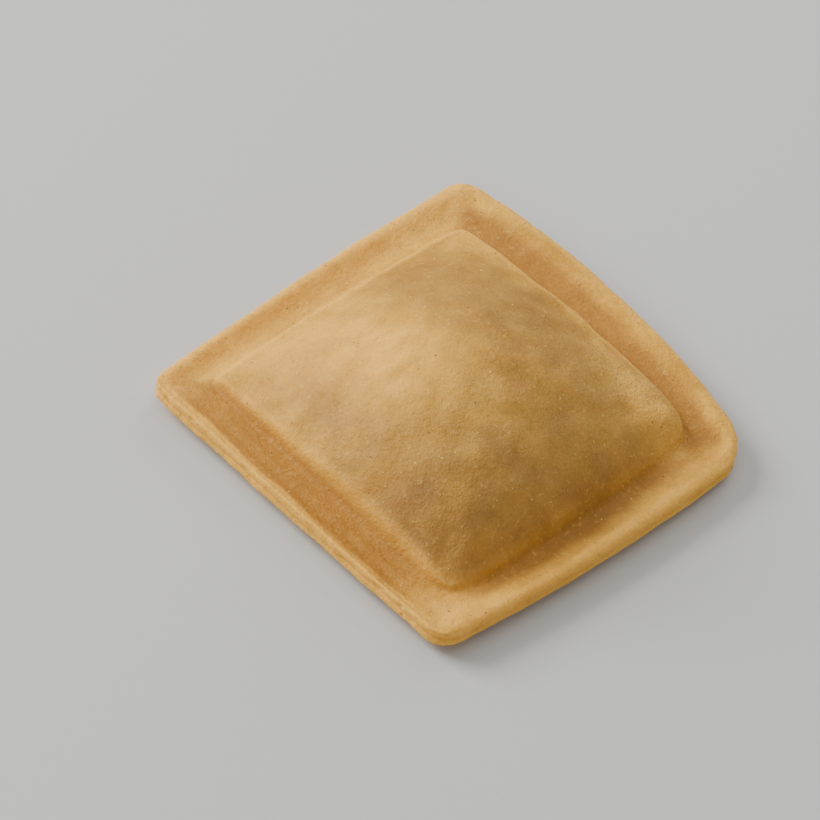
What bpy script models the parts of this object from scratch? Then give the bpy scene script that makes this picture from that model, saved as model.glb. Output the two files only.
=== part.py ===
"""A square raviolo: two sheets of pasta dough pressed flat around one plump, closed filling.

Everything is in metres with +Z up. The raviolo lies on z = 0 on the flat underside of its pillow,
and the origin is under the middle of its footprint. Its cut outline has four unlike corners and
sides, as a piece cut by a roller has.
"""

import math

import bmesh
import bpy

NAME = "raviolo"
MM = 0.001

# Corners are named by the signs of X and Y. Each outline is four corners, the radius that rounds
# each of them, and how far each side swells out between its corners.
CUT_CORNERS = {
    (-1, -1): (-20.3 * MM, -23.15 * MM),
    (1, -1): (21.4 * MM, -22.45 * MM),
    (1, 1): (21.95 * MM, 20.05 * MM),
    (-1, 1): (-22.7 * MM, 22.05 * MM),
}
CUT_RADII = {
    (-1, -1): 1.5 * MM,
    (1, -1): 2.4 * MM,
    (1, 1): 4.2 * MM,
    (-1, 1): 2.0 * MM,
}
CUT_BOWS = {"-x": 0.5 * MM, "+x": 1.0 * MM, "-y": 0.1 * MM, "+y": 2.0 * MM}

FOOT_CORNERS = {
    (-1, -1): (-17.0 * MM, -18.35 * MM),
    (1, -1): (18.0 * MM, -18.55 * MM),
    (1, 1): (17.3 * MM, 16.45 * MM),
    (-1, 1): (-17.8 * MM, 16.75 * MM),
}
FOOT_RADII = {
    (-1, -1): 1.6 * MM,
    (1, -1): 4.0 * MM,
    (1, 1): 3.4 * MM,
    (-1, 1): 2.4 * MM,
}
FOOT_BOWS = {"-x": 0.3 * MM, "+x": 0.6 * MM, "-y": 0.1 * MM, "+y": 0.8 * MM}

# Half sizes that turn a corner radius into a share of an outline
CUT_HALF = 22.2 * MM
FOOT_HALF = 17.6 * MM

# Border: a raised lip by the cut edge, then a shallow groove, then the foot of the pillow. Each
# entry is a share of the border's width, from the foot out, and the dough's thickness there.
BORDER_SECTION = (
    (0.00, 1.75 * MM),
    (0.28, 1.60 * MM),
    (0.58, 1.95 * MM),
    (0.80, 2.40 * MM),
    (1.00, 2.05 * MM),
)
BORDER_LIFT = 0.8 * MM
UNDER_EDGE_RISE = 0.15 * MM
FAR_SIDE_CURL = 0.9 * MM
FAR_SIDE_SHARPNESS = 3
FAR_CORNER_DROOP = 0.4 * MM
FAR_CORNER_SHARPNESS = 4

# Pillow: a pinched wall just inside its foot on each side, then the dome. The wall's entry is how
# high it stands and how wide it is. A station is a share of the way from the centre to the foot.
# The dome's fall is an exponent: near 1 it drops steeply at the foot, above that it eases out.
# The crest and the bulge are soft lumps on the dome, and the trough is a faint dent that runs
# along its two far sides, over a fade in plan where they turn into the near ones.
PILLOW_STATIONS = (0.0, 0.28, 0.52, 0.74, 0.88, 0.955)
WALLS = {
    "-x": (0.7 * MM, 0.8 * MM),
    "+x": (1.2 * MM, 3.2 * MM),
    "-y": (0.6 * MM, 0.7 * MM),
    "+y": (1.3 * MM, 0.9 * MM),
}
WALL_TURN_SHARPNESS = 8
DOME_HEIGHT = 10.2 * MM
DOME_SQUARENESS = 2.2
DOME_FALL = {"-x": 1.15, "+x": 1.05, "-y": 0.95, "+y": 1.25}
DOME_LEAN = (0.08, -0.11)
CREST = {"place": (12.2 * MM, 14.45 * MM), "reach": (6.0 * MM, 2.0 * MM), "height": 1.4 * MM}
BULGE = {"place": (10.0 * MM, -11.65 * MM), "reach": (6.5 * MM, 6.0 * MM), "height": 0.9 * MM}
TROUGH_DEPTH = 0.3 * MM
TROUGH_INSET = 2.6 * MM
TROUGH_WIDTH = 1.0 * MM
TROUGH_FADE = 0.2
UNDER_FLAT_SHARE = 0.62

# Share of the way from the centre line to the cut edge at which the pillow's foot lies
FOOT_SHARE = 0.78
SIDE_SHARES = (0.18, 0.82)
SUBDIVISION_LEVEL = 1

DOUGH_COLOR = (0.58, 0.36, 0.15, 1.0)
DOUGH_ROUGHNESS = 0.6


def smooth_step(value):
    """0 below 0, 1 above 1, and an even S between them."""
    value = min(1.0, max(0.0, value))
    return value * value * (3.0 - 2.0 * value)


def hump(distance):
    """A bell of height 1 that is nearly gone at a distance of 2."""
    return math.exp(-distance * distance)


def across(values, s, t):
    """Value at (s, t), each from -1 to 1, blended from the values at the four corners."""
    return sum(
        0.25 * (1.0 + sign_x * s) * (1.0 + sign_y * t) * value
        for (sign_x, sign_y), value in values.items()
    )


def rounded(s, t, radii, half):
    """(s, t) with the square's corners drawn in to arcs."""
    share = radii[(1 if s > 0 else -1, 1 if t > 0 else -1)] / half
    p = (abs(s) - 1.0 + share) / share
    q = (abs(t) - 1.0 + share) / share
    if p <= 0.0 or q <= 0.0:
        return s, t
    arc_s = 1.0 - share + share * p * math.sqrt(1.0 - q * q / 2.0)
    arc_t = 1.0 - share + share * q * math.sqrt(1.0 - p * p / 2.0)
    return math.copysign(arc_s, s), math.copysign(arc_t, t)


def outline_point(corners, radii, bows, half, s, t):
    """Plan position of (s, t) inside one outline, whose sides are at s = -1, 1 and t = -1, 1."""
    s, t = rounded(s, t, radii, half)
    x = across({corner: place[0] for corner, place in corners.items()}, s, t)
    y = across({corner: place[1] for corner, place in corners.items()}, s, t)
    x += 0.5 * (1.0 - t * t) * ((1.0 + s) * bows["+x"] - (1.0 - s) * bows["-x"])
    y += 0.5 * (1.0 - s * s) * ((1.0 + t) * bows["+y"] - (1.0 - t) * bows["-y"])
    return x, y


def cut_point(s, t):
    return outline_point(CUT_CORNERS, CUT_RADII, CUT_BOWS, CUT_HALF, s, t)


def foot_point(s, t):
    p, q = s / FOOT_SHARE, t / FOOT_SHARE
    return outline_point(FOOT_CORNERS, FOOT_RADII, FOOT_BOWS, FOOT_HALF, p, q)


def border_share(s, t):
    """0 on the pillow, rising to 1 at the cut edge."""
    return max(0.0, (max(abs(s), abs(t)) - FOOT_SHARE) / (1.0 - FOOT_SHARE))


def plan_point(s, t):
    """Plan position of (s, t): the foot's outline, blended over the border into the cut outline."""
    inner_s = max(-FOOT_SHARE, min(FOOT_SHARE, s))
    inner_t = max(-FOOT_SHARE, min(FOOT_SHARE, t))
    stay = 1.0 - border_share(s, t)
    cut_x, cut_y = cut_point(s, t)
    inner_x, inner_y = cut_point(inner_s, inner_t)
    foot_x, foot_y = foot_point(inner_s, inner_t)
    return cut_x + stay * (foot_x - inner_x), cut_y + stay * (foot_y - inner_y)


def border_thickness(share):
    """Thickness of the border at a share of its width, read off its cross-section."""
    for (low, low_height), (high, high_height) in zip(BORDER_SECTION, BORDER_SECTION[1:]):
        if share <= high:
            return low_height + (high_height - low_height) * (share - low) / (high - low)
    return BORDER_SECTION[-1][1]


def curl(s, t):
    """How far the border stands above its even lift: up along the far side, down at one corner."""
    up = FAR_SIDE_CURL * (1.0 - s * s) * ((1.0 + t) / 2.0) ** FAR_SIDE_SHARPNESS
    down = FAR_CORNER_DROOP * ((1.0 + s) * (1.0 + t) / 4.0) ** FAR_CORNER_SHARPNESS
    return up - down


def wall_at(p, q):
    """Height and width of the pillow's wall, turning from one side's to the next at a corner."""
    along_x = abs(p) ** WALL_TURN_SHARPNESS
    along_y = abs(q) ** WALL_TURN_SHARPNESS
    share = along_x / (along_x + along_y) if along_x + along_y > 0.0 else 0.5
    x_wall = WALLS["+x" if p > 0 else "-x"]
    y_wall = WALLS["+y" if q > 0 else "-y"]
    return tuple(share * x + (1.0 - share) * y for x, y in zip(x_wall, y_wall))


def swell(p, q):
    """The dome's share of its full height at (p, q), with its top leaning off the middle."""
    rise = 1.0
    for place, lean, low, high in zip((p, q), DOME_LEAN, ("-x", "-y"), ("+x", "+y")):
        place -= lean * (1.0 - place * place)
        fall = 0.5 * ((1.0 - place) * DOME_FALL[low] + (1.0 + place) * DOME_FALL[high])
        rise *= max(0.0, 1.0 - abs(place) ** DOME_SQUARENESS) ** fall
    return rise


def lump_at(lump, x, y):
    """Height that one soft lump adds at (x, y)."""
    (middle_x, middle_y), (reach_x, reach_y) = lump["place"], lump["reach"]
    return lump["height"] * hump(math.hypot((x - middle_x) / reach_x, (y - middle_y) / reach_y))


def top_height(s, t):
    """Height of the upper face over the surface that the raviolo lies on."""
    p = max(-1.0, min(1.0, s / FOOT_SHARE))
    q = max(-1.0, min(1.0, t / FOOT_SHARE))
    x, y = plan_point(s, t)
    inset = (1.0 - max(abs(p), abs(q))) * FOOT_HALF
    wall_height, wall_width = wall_at(p, q)
    inside = smooth_step(inset / wall_width)
    wall = wall_height * inside
    dome = (DOME_HEIGHT - wall) * swell(p, q)
    lumps = inside * (lump_at(CREST, x, y) + lump_at(BULGE, x, y))
    on_far_sides = smooth_step(0.5 + 0.5 * (q - p) / TROUGH_FADE)
    trough = TROUGH_DEPTH * on_far_sides * hump((inset - TROUGH_INSET) / TROUGH_WIDTH)
    base = BORDER_LIFT + curl(s, t) + border_thickness(border_share(s, t))
    return base + wall + dome + lumps - trough


def under_height(s, t):
    """Height of the lower face: flat under the pillow, lifted under the border."""
    ring = max(abs(s), abs(t)) / FOOT_SHARE
    rise = smooth_step((ring - UNDER_FLAT_SHARE) / (1.0 - UNDER_FLAT_SHARE))
    edge = UNDER_EDGE_RISE * border_share(s, t) ** 2
    return rise * (BORDER_LIFT + curl(s, t)) + edge


def stations():
    """Places of the cage's lines along one axis, from one cut edge to the other."""
    inner = [FOOT_SHARE * station for station in PILLOW_STATIONS]
    outer = [FOOT_SHARE + (1.0 - FOOT_SHARE) * share for share, _ in BORDER_SECTION]
    half = inner + outer
    return [-place for place in reversed(half[1:])] + half


def make_cage():
    """A cube, cut into a grid and bent into the raviolo, as a coarse cage."""
    lines = stations()
    cage = bmesh.new()
    bmesh.ops.create_cube(cage, size=2.0)
    flat = [edge for edge in cage.edges if edge.verts[0].co.z == edge.verts[1].co.z]
    bmesh.ops.subdivide_edges(cage, edges=flat, cuts=len(lines) - 2, use_grid_fill=True)
    upright = [edge for edge in cage.edges if abs(edge.verts[0].co.z - edge.verts[1].co.z) > 1.0]
    bmesh.ops.subdivide_edges(cage, edges=upright, cuts=len(SIDE_SHARES), use_grid_fill=True)
    step = 2.0 / (len(lines) - 1)
    levels = (0.0,) + SIDE_SHARES + (1.0,)
    for vertex in cage.verts:
        s = lines[round((vertex.co.x + 1.0) / step)]
        t = lines[round((vertex.co.y + 1.0) / step)]
        share = levels[round((vertex.co.z + 1.0) / 2.0 * (len(levels) - 1))]
        low = under_height(s, t)
        x, y = plan_point(s, t)
        vertex.co = (x, y, low + share * (top_height(s, t) - low))
    bmesh.ops.recalc_face_normals(cage, faces=cage.faces)
    return cage


def make_dough_material():
    material = bpy.data.materials.new("dough")
    material.use_nodes = True
    shader = material.node_tree.nodes["Principled BSDF"]
    shader.inputs["Base Color"].default_value = DOUGH_COLOR
    shader.inputs["Roughness"].default_value = DOUGH_ROUGHNESS
    shader.inputs["Metallic"].default_value = 0.0
    return material


def make_raviolo(collection):
    cage = make_cage()
    mesh = bpy.data.meshes.new(NAME)
    cage.to_mesh(mesh)
    cage.free()
    mesh.shade_smooth()
    mesh.materials.append(make_dough_material())
    raviolo = bpy.data.objects.new(NAME, mesh)
    collection.objects.link(raviolo)
    rounding = raviolo.modifiers.new("rounding", "SUBSURF")
    rounding.levels = SUBDIVISION_LEVEL
    rounding.render_levels = SUBDIVISION_LEVEL
    return raviolo


def main():
    for item in list(bpy.data.objects):
        bpy.data.objects.remove(item)
    collection = bpy.data.collections.new(NAME)
    bpy.context.scene.collection.children.link(collection)
    make_raviolo(collection)


main()
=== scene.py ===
"""Dresses a packed square raviolo as fresh filled pasta, on a plain floor in soft studio light.

The dough is built again from the sizes of the solid that it replaces, finely enough to carry the
lumps, pits and wrinkles of rolled dough, the pale lips and the torn seam on its cut side. Bran
flecks and semolina grains are laid over it.
"""

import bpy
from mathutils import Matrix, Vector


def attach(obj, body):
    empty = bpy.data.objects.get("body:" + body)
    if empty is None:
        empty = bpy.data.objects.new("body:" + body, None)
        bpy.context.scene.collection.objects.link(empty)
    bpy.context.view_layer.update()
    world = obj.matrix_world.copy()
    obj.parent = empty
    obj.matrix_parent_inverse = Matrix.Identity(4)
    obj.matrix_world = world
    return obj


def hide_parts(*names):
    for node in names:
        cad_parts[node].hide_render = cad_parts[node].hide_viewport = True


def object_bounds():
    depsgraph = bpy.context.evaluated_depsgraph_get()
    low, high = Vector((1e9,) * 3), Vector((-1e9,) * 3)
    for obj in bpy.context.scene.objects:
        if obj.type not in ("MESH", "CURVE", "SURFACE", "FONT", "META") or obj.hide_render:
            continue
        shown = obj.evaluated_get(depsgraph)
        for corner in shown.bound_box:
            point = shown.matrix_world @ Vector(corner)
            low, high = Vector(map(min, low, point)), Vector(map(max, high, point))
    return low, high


bl_info = {
    "name": "Filled pasta square",
    "version": (1, 0, 0),
    "blender": (4, 5, 0),
    "location": "3D View > Sidebar > Pasta",
    "description": "Makes one square raviolo with its dough and its flecks",
    "category": "Add Mesh",
}

import math

import bmesh
import bpy
import numpy as np
from bpy.props import FloatProperty, FloatVectorProperty, IntProperty, PointerProperty
from mathutils import Matrix, Vector, noise

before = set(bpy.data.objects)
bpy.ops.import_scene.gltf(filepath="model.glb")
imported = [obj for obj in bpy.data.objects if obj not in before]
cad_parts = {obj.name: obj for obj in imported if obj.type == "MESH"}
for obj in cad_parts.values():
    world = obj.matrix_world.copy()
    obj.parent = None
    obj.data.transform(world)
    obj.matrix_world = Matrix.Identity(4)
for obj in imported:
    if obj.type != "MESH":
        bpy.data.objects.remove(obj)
CAD_BOX = [[float(value) for value in corner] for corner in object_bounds()]

MM = 0.001
NODE = "raviolo"
BODY = "root"

# Corners are named by the signs of X and Y. Each outline is four corners, the radius that rounds
# each of them, and how far each side swells out between its corners.
CUT_CORNERS = {
    (-1, -1): (-20.3 * MM, -23.15 * MM),
    (1, -1): (21.4 * MM, -22.45 * MM),
    (1, 1): (21.95 * MM, 20.05 * MM),
    (-1, 1): (-22.7 * MM, 22.05 * MM),
}
CUT_RADII = {(-1, -1): 1.5 * MM, (1, -1): 2.4 * MM, (1, 1): 4.2 * MM, (-1, 1): 2.0 * MM}
CUT_BOWS = {"-x": 0.5 * MM, "+x": 1.0 * MM, "-y": 0.1 * MM, "+y": 2.0 * MM}
FOOT_CORNERS = {
    (-1, -1): (-17.0 * MM, -18.35 * MM),
    (1, -1): (18.0 * MM, -18.55 * MM),
    (1, 1): (17.3 * MM, 16.45 * MM),
    (-1, 1): (-17.8 * MM, 16.75 * MM),
}
FOOT_RADII = {(-1, -1): 1.6 * MM, (1, -1): 4.0 * MM, (1, 1): 3.4 * MM, (-1, 1): 2.4 * MM}
FOOT_BOWS = {"-x": 0.3 * MM, "+x": 0.6 * MM, "-y": 0.1 * MM, "+y": 0.8 * MM}
CUT_HALF = 22.2 * MM
FOOT_HALF = 17.6 * MM

# Share of the border's width from the foot out, and the dough's thickness there
BORDER_SECTION = (
    (0.00, 1.75 * MM),
    (0.28, 1.60 * MM),
    (0.58, 1.95 * MM),
    (0.80, 2.40 * MM),
    (1.00, 2.05 * MM),
)
BORDER_LIFT = 0.8 * MM
UNDER_EDGE_RISE = 0.15 * MM
FAR_SIDE_CURL = 0.9 * MM
FAR_SIDE_SHARPNESS = 3
FAR_CORNER_DROOP = 0.4 * MM
FAR_CORNER_SHARPNESS = 4
PILLOW_STATIONS = (0.0, 0.28, 0.52, 0.74, 0.88, 0.955)
WALLS = {
    "-x": (0.7 * MM, 0.8 * MM),
    "+x": (1.2 * MM, 3.2 * MM),
    "-y": (0.6 * MM, 0.7 * MM),
    "+y": (1.3 * MM, 0.9 * MM),
}
WALL_TURN_SHARPNESS = 8
DOME_HEIGHT = 10.2 * MM
DOME_SQUARENESS = 2.2
DOME_FALL = {"-x": 1.15, "+x": 1.05, "-y": 0.95, "+y": 1.25}
DOME_LEAN = (0.08, -0.11)
CREST = {"place": (12.2 * MM, 14.45 * MM), "reach": (6.0 * MM, 2.0 * MM), "height": 1.4 * MM}
BULGE = {"place": (10.0 * MM, -11.65 * MM), "reach": (6.5 * MM, 6.0 * MM), "height": 0.9 * MM}
TROUGH_DEPTH = 0.3 * MM
TROUGH_INSET = 2.6 * MM
TROUGH_WIDTH = 1.0 * MM
TROUGH_FADE = 0.2
UNDER_FLAT_SHARE = 0.62
FOOT_SHARE = 0.78
SIDE_SHARES = (0.18, 0.82)
DOUGH_LEVELS = 3

# Room left between the dough and the solid's box, for the flecks that stand proud of the dough
FLECK_ROOM = 0.06 * MM

# The photograph's camera: its picture is square, with this many pixels along each side
PICTURE_SIDE = 820
SENSOR_WIDTH = 36.0


def smooth_step(value):
    """0 below 0, 1 above 1, and an even S between them."""
    value = min(1.0, max(0.0, value))
    return value * value * (3.0 - 2.0 * value)


def hump(distance):
    """A bell of height 1 that is nearly gone at a distance of 2."""
    return math.exp(-distance * distance)


def across(values, s, t):
    """Value at (s, t), each from -1 to 1, blended from the values at the four corners."""
    return sum(
        0.25 * (1.0 + sign_x * s) * (1.0 + sign_y * t) * value
        for (sign_x, sign_y), value in values.items()
    )


def rounded(s, t, radii, half):
    """(s, t) with the square's corners drawn in to arcs."""
    share = radii[(1 if s > 0 else -1, 1 if t > 0 else -1)] / half
    p = (abs(s) - 1.0 + share) / share
    q = (abs(t) - 1.0 + share) / share
    if p <= 0.0 or q <= 0.0:
        return s, t
    arc_s = 1.0 - share + share * p * math.sqrt(1.0 - q * q / 2.0)
    arc_t = 1.0 - share + share * q * math.sqrt(1.0 - p * p / 2.0)
    return math.copysign(arc_s, s), math.copysign(arc_t, t)


def outline_point(corners, radii, bows, half, s, t):
    """Plan position of (s, t) inside one outline, whose sides are at s = -1, 1 and t = -1, 1."""
    s, t = rounded(s, t, radii, half)
    x = across({corner: place[0] for corner, place in corners.items()}, s, t)
    y = across({corner: place[1] for corner, place in corners.items()}, s, t)
    x += 0.5 * (1.0 - t * t) * ((1.0 + s) * bows["+x"] - (1.0 - s) * bows["-x"])
    y += 0.5 * (1.0 - s * s) * ((1.0 + t) * bows["+y"] - (1.0 - t) * bows["-y"])
    return x, y


def cut_point(s, t):
    return outline_point(CUT_CORNERS, CUT_RADII, CUT_BOWS, CUT_HALF, s, t)


def foot_point(s, t):
    p, q = s / FOOT_SHARE, t / FOOT_SHARE
    return outline_point(FOOT_CORNERS, FOOT_RADII, FOOT_BOWS, FOOT_HALF, p, q)


def border_share(s, t):
    """0 on the pillow, rising to 1 at the cut edge."""
    return max(0.0, (max(abs(s), abs(t)) - FOOT_SHARE) / (1.0 - FOOT_SHARE))


def plan_point(s, t):
    """Plan position of (s, t): the foot's outline, blended over the border into the cut outline."""
    inner_s = max(-FOOT_SHARE, min(FOOT_SHARE, s))
    inner_t = max(-FOOT_SHARE, min(FOOT_SHARE, t))
    stay = 1.0 - border_share(s, t)
    cut_x, cut_y = cut_point(s, t)
    inner_x, inner_y = cut_point(inner_s, inner_t)
    foot_x, foot_y = foot_point(inner_s, inner_t)
    return cut_x + stay * (foot_x - inner_x), cut_y + stay * (foot_y - inner_y)


def border_thickness(share):
    """Thickness of the border at a share of its width, read off its cross-section."""
    for (low, low_height), (high, high_height) in zip(BORDER_SECTION, BORDER_SECTION[1:]):
        if share <= high:
            return low_height + (high_height - low_height) * (share - low) / (high - low)
    return BORDER_SECTION[-1][1]


def curl(s, t):
    """How far the border stands above its even lift: up along the far side, down at one corner."""
    up = FAR_SIDE_CURL * (1.0 - s * s) * ((1.0 + t) / 2.0) ** FAR_SIDE_SHARPNESS
    down = FAR_CORNER_DROOP * ((1.0 + s) * (1.0 + t) / 4.0) ** FAR_CORNER_SHARPNESS
    return up - down


def wall_at(p, q):
    """Height and width of the pillow's wall, turning from one side's to the next at a corner."""
    along_x = abs(p) ** WALL_TURN_SHARPNESS
    along_y = abs(q) ** WALL_TURN_SHARPNESS
    share = along_x / (along_x + along_y) if along_x + along_y > 0.0 else 0.5
    x_wall = WALLS["+x" if p > 0 else "-x"]
    y_wall = WALLS["+y" if q > 0 else "-y"]
    return tuple(share * x + (1.0 - share) * y for x, y in zip(x_wall, y_wall))


def swell(p, q):
    """The dome's share of its full height at (p, q), with its top leaning off the middle."""
    rise = 1.0
    for place, lean, low, high in zip((p, q), DOME_LEAN, ("-x", "-y"), ("+x", "+y")):
        place -= lean * (1.0 - place * place)
        fall = 0.5 * ((1.0 - place) * DOME_FALL[low] + (1.0 + place) * DOME_FALL[high])
        rise *= max(0.0, 1.0 - abs(place) ** DOME_SQUARENESS) ** fall
    return rise


def lump_at(lump, x, y):
    """Height that one soft lump adds at (x, y)."""
    (middle_x, middle_y), (reach_x, reach_y) = lump["place"], lump["reach"]
    return lump["height"] * hump(math.hypot((x - middle_x) / reach_x, (y - middle_y) / reach_y))


def top_height(s, t):
    """Height of the upper face over the surface that the raviolo lies on."""
    p = max(-1.0, min(1.0, s / FOOT_SHARE))
    q = max(-1.0, min(1.0, t / FOOT_SHARE))
    x, y = plan_point(s, t)
    inset = (1.0 - max(abs(p), abs(q))) * FOOT_HALF
    wall_height, wall_width = wall_at(p, q)
    inside = smooth_step(inset / wall_width)
    wall = wall_height * inside
    dome = (DOME_HEIGHT - wall) * swell(p, q)
    lumps = inside * (lump_at(CREST, x, y) + lump_at(BULGE, x, y))
    on_far_sides = smooth_step(0.5 + 0.5 * (q - p) / TROUGH_FADE)
    trough = TROUGH_DEPTH * on_far_sides * hump((inset - TROUGH_INSET) / TROUGH_WIDTH)
    base = BORDER_LIFT + curl(s, t) + border_thickness(border_share(s, t))
    return base + wall + dome + lumps - trough


def under_height(s, t):
    """Height of the lower face: flat under the pillow, lifted under the border."""
    ring = max(abs(s), abs(t)) / FOOT_SHARE
    rise = smooth_step((ring - UNDER_FLAT_SHARE) / (1.0 - UNDER_FLAT_SHARE))
    edge = UNDER_EDGE_RISE * border_share(s, t) ** 2
    return rise * (BORDER_LIFT + curl(s, t)) + edge


def stations():
    """Places of the cage's lines along one axis, from one cut edge to the other."""
    inner = [FOOT_SHARE * station for station in PILLOW_STATIONS]
    outer = [FOOT_SHARE + (1.0 - FOOT_SHARE) * share for share, _ in BORDER_SECTION]
    half = inner + outer
    return [-place for place in reversed(half[1:])] + half


def make_cage():
    """A cube, cut into a grid and bent into the raviolo, with its plan place kept as two maps."""
    lines = stations()
    cage = bmesh.new()
    bmesh.ops.create_cube(cage, size=2.0)
    flat = [edge for edge in cage.edges if edge.verts[0].co.z == edge.verts[1].co.z]
    bmesh.ops.subdivide_edges(cage, edges=flat, cuts=len(lines) - 2, use_grid_fill=True)
    upright = [edge for edge in cage.edges if abs(edge.verts[0].co.z - edge.verts[1].co.z) > 1.0]
    bmesh.ops.subdivide_edges(cage, edges=upright, cuts=len(SIDE_SHARES), use_grid_fill=True)
    step = 2.0 / (len(lines) - 1)
    levels = (0.0,) + SIDE_SHARES + (1.0,)
    plan = cage.loops.layers.uv.new("plan")
    height = cage.loops.layers.uv.new("height")
    for vertex in cage.verts:
        s = lines[round((vertex.co.x + 1.0) / step)]
        t = lines[round((vertex.co.y + 1.0) / step)]
        share = levels[round((vertex.co.z + 1.0) / 2.0 * (len(levels) - 1))]
        low = under_height(s, t)
        x, y = plan_point(s, t)
        vertex.co = (x, y, low + share * (top_height(s, t) - low))
        for loop in vertex.link_loops:
            loop[plan].uv = (s, t)
            loop[height].uv = (share, 0.0)
    bmesh.ops.recalc_face_normals(cage, faces=cage.faces)
    return cage


def corner_values(mesh, name):
    """The values of one of the cage's maps, as a row for each vertex."""
    corners = np.zeros(len(mesh.loops), np.int32)
    mesh.loops.foreach_get("vertex_index", corners)
    values = np.zeros(len(mesh.loops) * 2, np.float32)
    mesh.uv_layers[name].uv.foreach_get("vector", values)
    rows = np.zeros((len(mesh.vertices), 2))
    rows[corners] = values.reshape(-1, 2)
    return rows


def plain_mesh(source, name):
    """The evaluated mesh of an object, as a new plain object, with the source removed."""
    graph = bpy.context.evaluated_depsgraph_get()
    mesh = bpy.data.meshes.new_from_object(source.evaluated_get(graph))
    mesh.name = name
    bpy.data.objects.remove(source)
    piece = bpy.data.objects.new(name, mesh)
    bpy.context.scene.collection.objects.link(piece)
    return piece


# The seam's share of the height up the cut side
SEAM_MIDDLE = 0.47

# Each kind of unevenness: the size of its lumps, its seed, its middle value and its swing
NOISES = {
    "broad lumps": (7.0 * MM, 1, 0.0, 1.0),
    "small lumps": (2.6 * MM, 2, 0.0, 1.0),
    "mould line's wander": (5.0 * MM, 3, 0.0, 0.25 * MM),
    "mould line's strength": (6.0 * MM, 4, 0.55, 0.45),
    "grain": (0.95 * MM, 5, 0.0, 0.038 * MM),
    "fine grain": (0.5 * MM, 6, 0.0, 0.012 * MM),
    "dimples": (1.3 * MM, 7, -0.45, 1.0),
    "wrinkle's wobble": (1.6 * MM, 8, 0.0, 0.3 * MM),
    "lip": (2.0 * MM, 9, 0.0, 0.05 * MM),
    "seam's middle": (7.0 * MM, 11, SEAM_MIDDLE, 0.10),
    "seam's opening": (3.0 * MM, 12, 0.55, 1.2),
    "seam's pits": (0.9 * MM, 13, -0.25, 1.0),
    "seam's rags": (0.7 * MM, 14, 0.0, 0.05 * MM),
    # These break up the edges of the zones of pale dough, painted light and painted shade.
    "pale edge": (4.0 * MM, 21, 0.0, 0.10),
    "pale mottle": (3.0 * MM, 22, 0.85, 0.25),
    "painted_groove_shade edge": (3.5 * MM, 23, 0.0, 0.12),
    "painted_shade mottle": (3.2 * MM, 24, 0.85, 0.45),
    "painted_dark_shade mottle": (3.6 * MM, 25, 0.95, 0.45),
}

# Soft patches in plan: the middle, the reach along X and Y, and the strength. The painted light,
# highlight and shade patches lay light and shade into the colour; the moist ones set only roughness and
# bump.
PATCHES = {
    "moist crest": ((12.0 * MM, 13.6 * MM), (5.5 * MM, 2.2 * MM), 1.0),
    "moist corner": ((18.2 * MM, 15.6 * MM), (2.2 * MM, 3.4 * MM), 0.7),
    # Painted highlight on the far crest, and painted light on the lit slope, shoulder and corners
    "painted highlight crest": ((12.8 * MM, 13.2 * MM), (6.0 * MM, 2.4 * MM), 1.2),
    "painted light slope": ((-5.5 * MM, -7.5 * MM), (6.0 * MM, 4.5 * MM), 0.75),
    "painted light shoulder": ((-13.0 * MM, -12.0 * MM), (4.5 * MM, 5.0 * MM), 0.6),
    "painted light near corner": ((19.0 * MM, -20.5 * MM), (4.0 * MM, 4.0 * MM), 0.7),
    "painted light left corner": ((-19.4 * MM, -21.6 * MM), (2.8 * MM, 2.6 * MM), 1.1),
    # Less painted groove shade by the near corner
    "unshaded near corner": ((20.0 * MM, -21.0 * MM), (5.0 * MM, 5.0 * MM), 0.85),
    # Painted shade on the slope, the corner and the near side that face away from the lamp
    "painted_shade slope": ((13.0 * MM, -9.0 * MM), (9.0 * MM, 9.0 * MM), 1.0),
    "painted_shade corner": ((11.0 * MM, -15.0 * MM), (10.0 * MM, 6.0 * MM), 1.0),
    "painted_shade near side": ((-2.0 * MM, -15.5 * MM), (12.0 * MM, 4.5 * MM), 0.75),
    # Painted shade over the top and far slope, by a corner and in the +X groove
    "painted_dark_shade top": ((-6.0 * MM, 6.5 * MM), (15.0 * MM, 8.0 * MM), 1.5),
    "painted_dark_shade corner": ((12.5 * MM, -16.5 * MM), (8.0 * MM, 4.0 * MM), 0.75),
    "painted_dark_shade groove": ((18.8 * MM, 2.0 * MM), (2.6 * MM, 9.0 * MM), 0.8),
}

# A pair is where something begins or ends, and the width over which it comes in or goes out.
# The share of the height runs up from the lower face, and a tilt is the Z of the normal.
TOP_BY_SHARE = (0.7, 0.25)
TOP_TILT = 0.3
TOP_TILT_MARGIN = 0.2
CUT_SIDE_BY_TILT = (0.25, 0.45)
CUT_SIDE_BY_BORDER = (0.85, 0.12)
PILLOW_EDGE = 1.5 * MM
SIDE_BLEND = 0.10


def fade_in(value, start, width):
    """0 up to start, 1 from start + width on, and an even S between them."""
    return smooth_step((value - start) / width)


def fade_out(value, end, width):
    """1 up to end - width, 0 from end on, and an even S between them."""
    return smooth_step((end - value) / width)


def side_shares(s, t):
    """How far a point belongs to each side: 1 well inside it, and a half on a diagonal."""
    ways = {"+x": s, "-x": -s, "+y": t, "-y": -t}
    shares = {}
    for name, way in ways.items():
        others = max(other for key, other in ways.items() if key != name)
        shares[name] = smooth_step((way - others) / SIDE_BLEND + 0.5)
    return shares


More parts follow.
